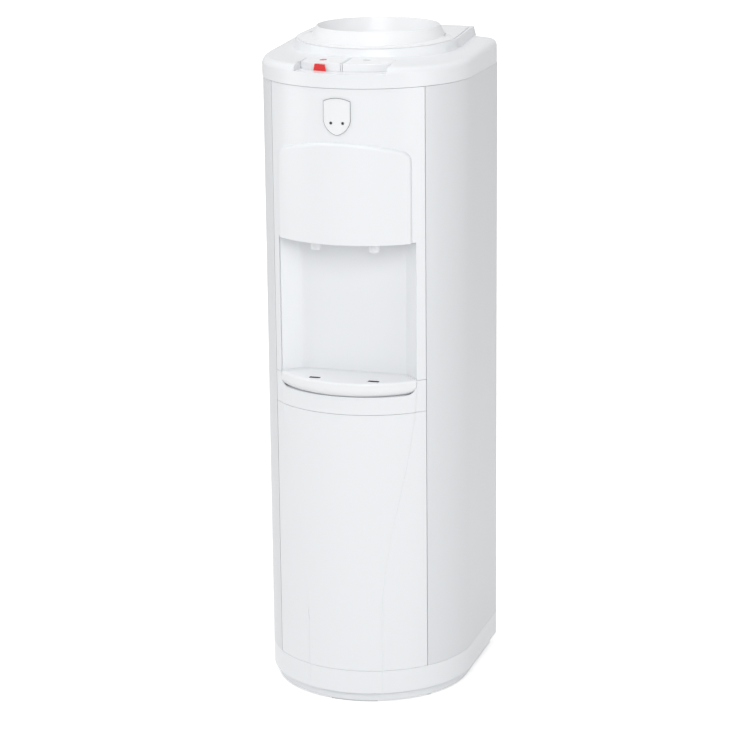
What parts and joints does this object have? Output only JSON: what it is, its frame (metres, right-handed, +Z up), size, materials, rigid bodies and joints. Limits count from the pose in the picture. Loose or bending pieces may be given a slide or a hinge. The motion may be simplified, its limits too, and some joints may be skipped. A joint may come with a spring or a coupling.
{
  "type": "water cooler",
  "caption": "Free-standing top-load hot and cold water cooler: open bottle collar, two push buttons, red child lock, dispensing alcove with spouts and drip tray.",
  "frame": {"origin": "on the floor, at the centre of the footprint", "axes": "+Z up, +Y to the back; the user stands at -Y"},
  "size_m": [0.312, 0.322, 0.9905],
  "materials": {
    "white_panel": "smooth satin gloss",
    "white_parts": "gloss",
    "side_paint": "light grey satin paint",
    "red_plastic": "gloss",
    "natural_plastic": "moulded",
    "grey_plastic": "moulded",
    "spring_steel": "drawn wire",
    "zinc_steel": "zinc coated",
    "stainless_steel": "brushed",
    "copper": "drawn copper tube",
    "foam": "expanded foam",
    "jacket_felt": "needled felt",
    "silicone": "soft, milky",
    "pale_plastic": "moulded",
    "black_rubber": "matt",
    "black_paint": "semi-gloss",
    "black_plastic": "moulded",
    "red_rocker": "gloss",
    "green_rocker": "gloss",
    "white_cap": "moulded",
    "circuit_board": "coated",
    "light_lens": "smoked lens"
  },
  "bodies": {
    "cabinet": {"alcove_liner": "white_panel", "base": "white_panel", "button_frame": "natural_plastic", "cold_button_spring": "spring_steel", "cold_shelf": "zinc_steel", "cold_tank": "stainless_steel", "cold_tap_spring": "spring_steel", "cold_thermostat": "black_plastic", "compressor": "black_paint", "compressor_mounts": "black_rubber", "condenser_pipe": "black_paint", "condenser_spacers": "black_plastic", "condenser_wires": "black_paint", "cord_gland": "black_plastic", "drain_outlet": "black_plastic", "evaporator_coil": "copper", "feet": "pale_plastic", "filter_drier": "copper", "foam_front": "foam", "foam_rear": "foam", "heater_band": "stainless_steel", "hot_button_spring": "spring_steel", "hot_feed": "silicone", "hot_jacket": "jacket_felt", "hot_shelf": "zinc_steel", "hot_tank": "stainless_steel", "hot_tap_spring": "spring_steel", "hot_thermostats": "black_plastic", "indicator_board": "circuit_board", "indicator_lights": "light_lens", "indicator_plate": "white_parts", "left_side_panel": "side_paint", "lower_front_panel": "white_panel", "rear_panel": "zinc_steel", "rear_screws": "zinc_steel", "refrigerant_lines": "copper", "right_side_panel": "side_paint", "switch_frames": "black_plastic", "tank_baffle": "natural_plastic", "tap_bodies": "white_parts", "tap_bracket": "zinc_steel", "top_cover": "white_panel", "tray_band": "white_panel", "upper_front_panel": "white_panel", "water_hoses": "silicone"},
    "bottle_collar": {"bottle_collar": "white_parts", "feed_probe": "natural_plastic"},
    "hot_button": {"hot_button": "white_parts"},
    "cold_button": {"cold_button": "white_parts"},
    "child_lock": {"child_lock": "red_plastic"},
    "hot_lever": {"hot_tap_lever": "grey_plastic"},
    "cold_lever": {"cold_tap_lever": "grey_plastic"},
    "hot_plunger": {"hot_tap_plunger": "natural_plastic"},
    "cold_plunger": {"cold_tap_plunger": "natural_plastic"},
    "drip_tray": {"drip_tray": "white_parts"},
    "tray_plate": {"tray_plate": "white_parts"},
    "hot_rocker": {"hot_switch": "red_rocker"},
    "cold_rocker": {"cold_switch": "green_rocker"},
    "drain_cap": {"drain_cap": "white_cap"}
  },
  "joints": [
    {"name": "collar_lift", "type": "slide", "parent": "cabinet", "child": "bottle_collar", "axis": [0, 0, 1], "range_m": [0, 0.08]},
    {"name": "hot_button_press", "type": "slide", "parent": "cabinet", "child": "hot_button", "axis": [0, 0, -1], "range_m": [0, 0.004], "stiffness_N_per_m": 150, "springref_m": -0.004, "deforming": ["hot_button_spring"]},
    {"name": "hot_lever_rock", "type": "hinge", "parent": "cabinet", "child": "hot_lever", "pos_m": [-0.044, -0.111, 0.757], "axis": [-1, 0, 0], "range_deg": [0, 16.65]},
    {"name": "hot_plunger_lift", "type": "slide", "parent": "cabinet", "child": "hot_plunger", "axis": [0, 0, 1], "range_m": [0, 0.004], "deforming": ["hot_tap_spring"]},
    {"name": "cold_button_press", "type": "slide", "parent": "cabinet", "child": "cold_button", "axis": [0, 0, -1], "range_m": [0, 0.004], "stiffness_N_per_m": 150, "springref_m": -0.004, "deforming": ["cold_button_spring"]},
    {"name": "cold_lever_rock", "type": "hinge", "parent": "cabinet", "child": "cold_lever", "pos_m": [0.044, -0.111, 0.757], "axis": [-1, 0, 0], "range_deg": [0, 16.65]},
    {"name": "cold_plunger_lift", "type": "slide", "parent": "cabinet", "child": "cold_plunger", "axis": [0, 0, 1], "range_m": [0, 0.004], "deforming": ["cold_tap_spring"]},
    {"name": "child_lock_slide", "type": "slide", "parent": "hot_button", "child": "child_lock", "axis": [0.9687, -0.2481, 0], "range_m": [-0.003, 0.003]},
    {"name": "tray_pull", "type": "slide", "parent": "cabinet", "child": "drip_tray", "axis": [0, -1, 0], "range_m": [0, 0.08]},
    {"name": "tray_plate_lift", "type": "slide", "parent": "drip_tray", "child": "tray_plate", "axis": [0, 0, 1], "range_m": [0, 0.03]},
    {"name": "hot_switch_rock", "type": "hinge", "parent": "cabinet", "child": "hot_rocker", "pos_m": [0.108, 0.136, 0.88], "axis": [1, 0, 0], "range_deg": [0, 9]},
    {"name": "cold_switch_rock", "type": "hinge", "parent": "cabinet", "child": "cold_rocker", "pos_m": [0.08, 0.136, 0.88], "axis": [1, 0, 0], "range_deg": [0, 9]},
    {"name": "drain_cap_pull", "type": "slide", "parent": "cabinet", "child": "drain_cap", "axis": [0, 1, 0], "range_m": [0, 0.02]}
  ],
  "couplings": [
    {"joint": "hot_lever_rock", "follows": "hot_button_press", "rad_per_m": 72.438},
    {"joint": "hot_plunger_lift", "follows": "hot_button_press", "ratio": 1},
    {"joint": "cold_lever_rock", "follows": "cold_button_press", "rad_per_m": 72.438},
    {"joint": "cold_plunger_lift", "follows": "cold_button_press", "ratio": 1}
  ]
}
